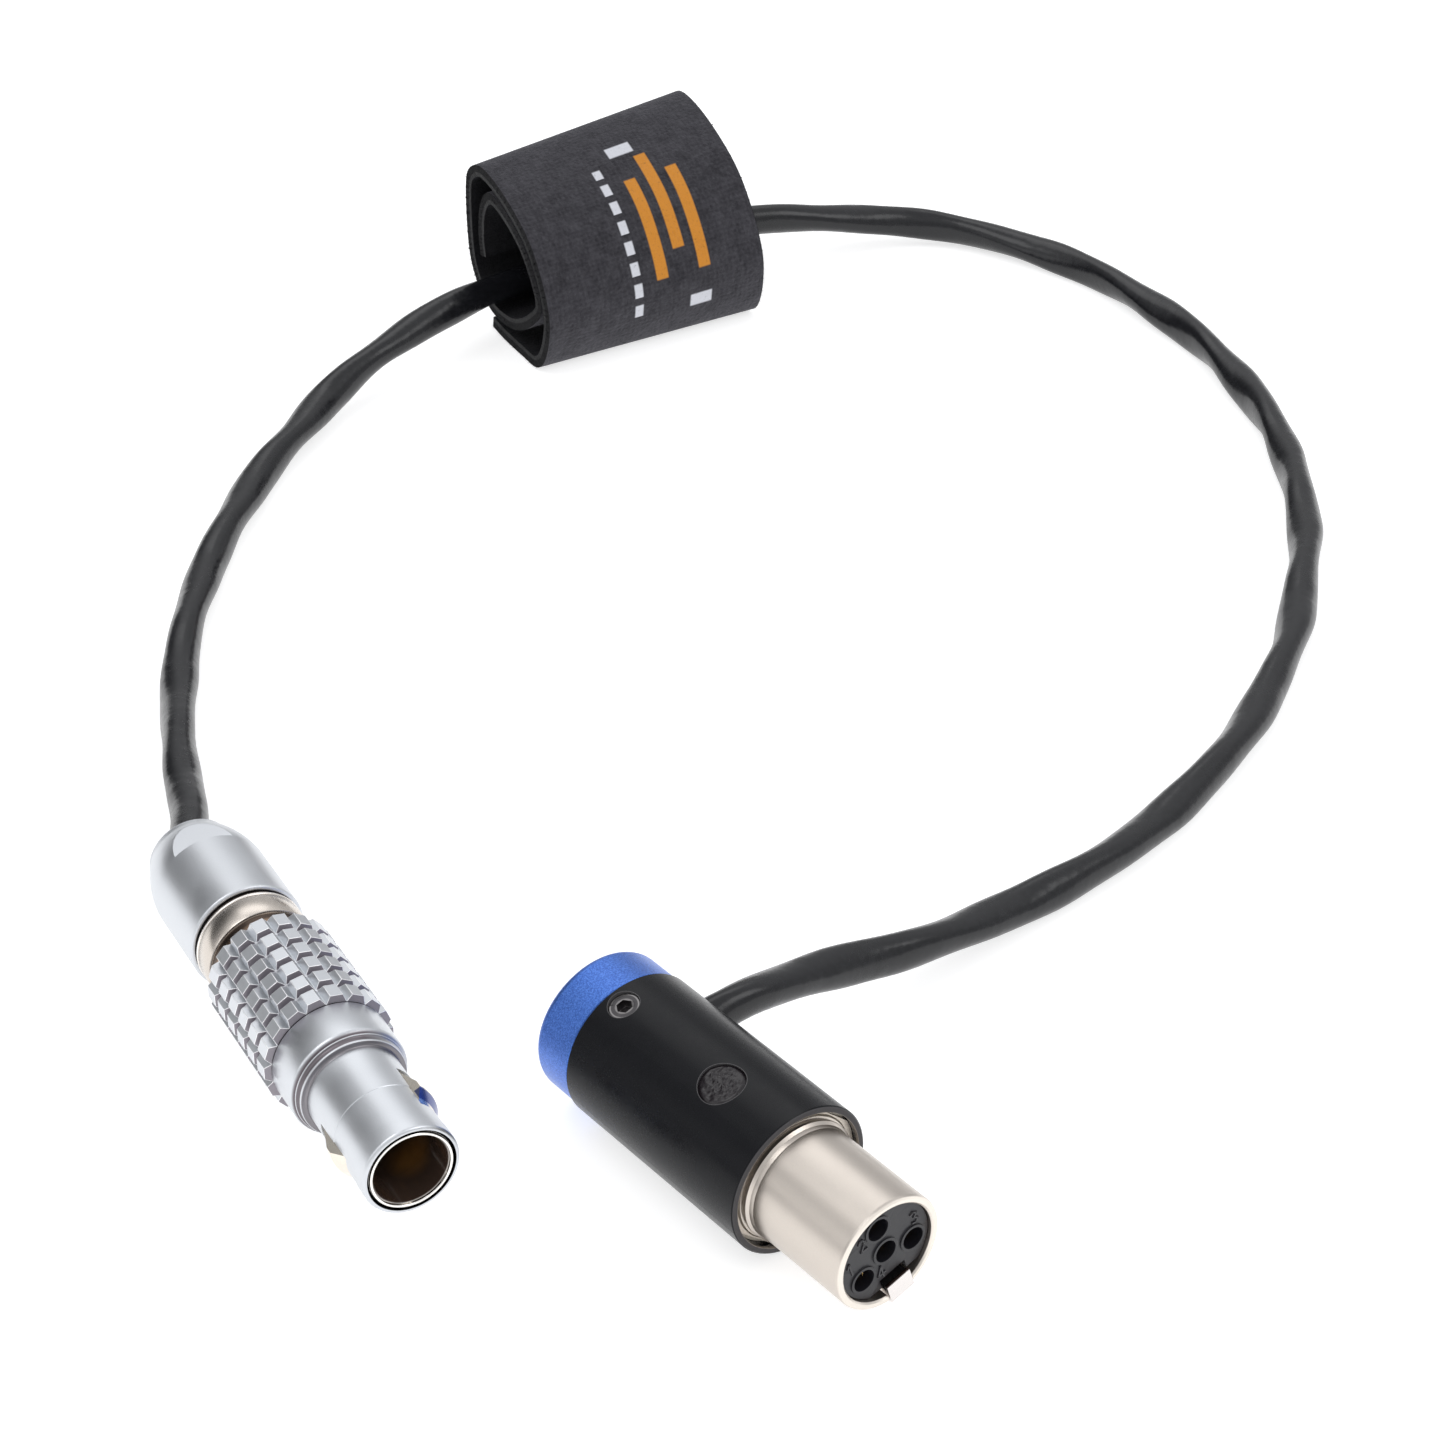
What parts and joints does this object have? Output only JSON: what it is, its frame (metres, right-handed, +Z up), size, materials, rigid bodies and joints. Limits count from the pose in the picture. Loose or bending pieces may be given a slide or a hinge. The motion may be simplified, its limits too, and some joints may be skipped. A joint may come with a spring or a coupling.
{
  "type": "adapter cable",
  "caption": "Short loop of thin round cable with a knurled push-pull circular plug, a low-profile right-angle mini connector with a press tab, and a rolled hook-and-loop strap.",
  "frame": {"origin": "bottom centre of the box around everything but the free cable, on the surface that the part lies on", "axes": "+Y from the two connectors towards the strap, +Z up, +X towards the right-angle connector's side"},
  "size_m": [0.1007, 0.1647, 0.0185],
  "materials": {
    "satin_chrome": "satin",
    "nickel": "satin nickel plate",
    "gold_plate": "gold plate",
    "brass_part": "plain",
    "brown_plastic": "moulded",
    "grey_plastic": "moulded",
    "black_ring": "matt",
    "charcoal_paint": "satin",
    "screw_fill": "matt",
    "steel": "plain",
    "blue_anodised": "satin anodised",
    "wire_insulation": "extruded",
    "cable_rubber": "glossy, twisted",
    "strap_loop": "brushed loop pile",
    "strap_hook": "fine moulded hooks"
  },
  "bodies": {
    "cable_assembly": {"plug_guide_sleeve": "satin_chrome", "plug_insulator": "brown_plastic", "plug_contacts": "gold_plate", "plug_carrier_upper": "brass_part", "plug_carrier_lower": "brass_part", "plug_wires": "wire_insulation", "plug_body": "nickel", "plug_collet": "brass_part", "plug_collet_nut": "satin_chrome", "cable_jacket": "cable_rubber", "conn_barrel": "nickel", "conn_insert": "grey_plastic", "conn_contacts": "gold_plate", "conn_front_ring": "black_ring", "conn_housing": "charcoal_paint", "conn_fixing_screw": "screw_fill", "conn_retaining_ring": "steel", "conn_wires": "wire_insulation", "conn_crimp_ring": "brass_part", "conn_grub_screw": "steel", "conn_end_cap": "blue_anodised"},
    "release_sleeve": {"plug_outer_shell": "satin_chrome"},
    "latch_right": {"plug_latch_right": "satin_chrome"},
    "latch_left": {"plug_latch_left": "satin_chrome"},
    "press_tab": {"conn_latch": "nickel"},
    "strap": {"strap_loop_layer": "strap_loop", "strap_hook_layer": "strap_hook"}
  },
  "joints": [
    {"name": "sleeve_slide", "type": "slide", "parent": "cable_assembly", "child": "release_sleeve", "axis": [-0.4736, 0.8807, 0], "range_m": [0, 0.0013], "stiffness_N_per_m": 150},
    {"name": "latch_right_tilt", "type": "hinge", "parent": "cable_assembly", "child": "latch_right", "pos_m": [-0.00993, -0.05596, 0.00618], "axis": [0.3722, 0.2002, -0.9063], "range_deg": [0, 5]},
    {"name": "latch_left_tilt", "type": "hinge", "parent": "cable_assembly", "child": "latch_left", "pos_m": [-0.01479, -0.05857, 0.00362], "axis": [-0.3722, -0.2002, 0.9063], "range_deg": [0, 5]},
    {"name": "tab_press", "type": "hinge", "parent": "cable_assembly", "child": "press_tab", "pos_m": [0.02111, -0.07101, 0.00251], "axis": [-0.7436, -0.593, -0.309], "range_deg": [0, 5], "stiffness_Nm_per_rad": 0.02},
    {"name": "strap_slide", "type": "slide", "parent": "cable_assembly", "child": "strap", "axis": [0.8634, 0.5045, 0], "range_m": [-0.003, 0.003]}
  ],
  "couplings": [
    {"joint": "latch_right_tilt", "follows": "sleeve_slide", "rad_per_m": 67},
    {"joint": "latch_left_tilt", "follows": "sleeve_slide", "rad_per_m": 67}
  ]
}
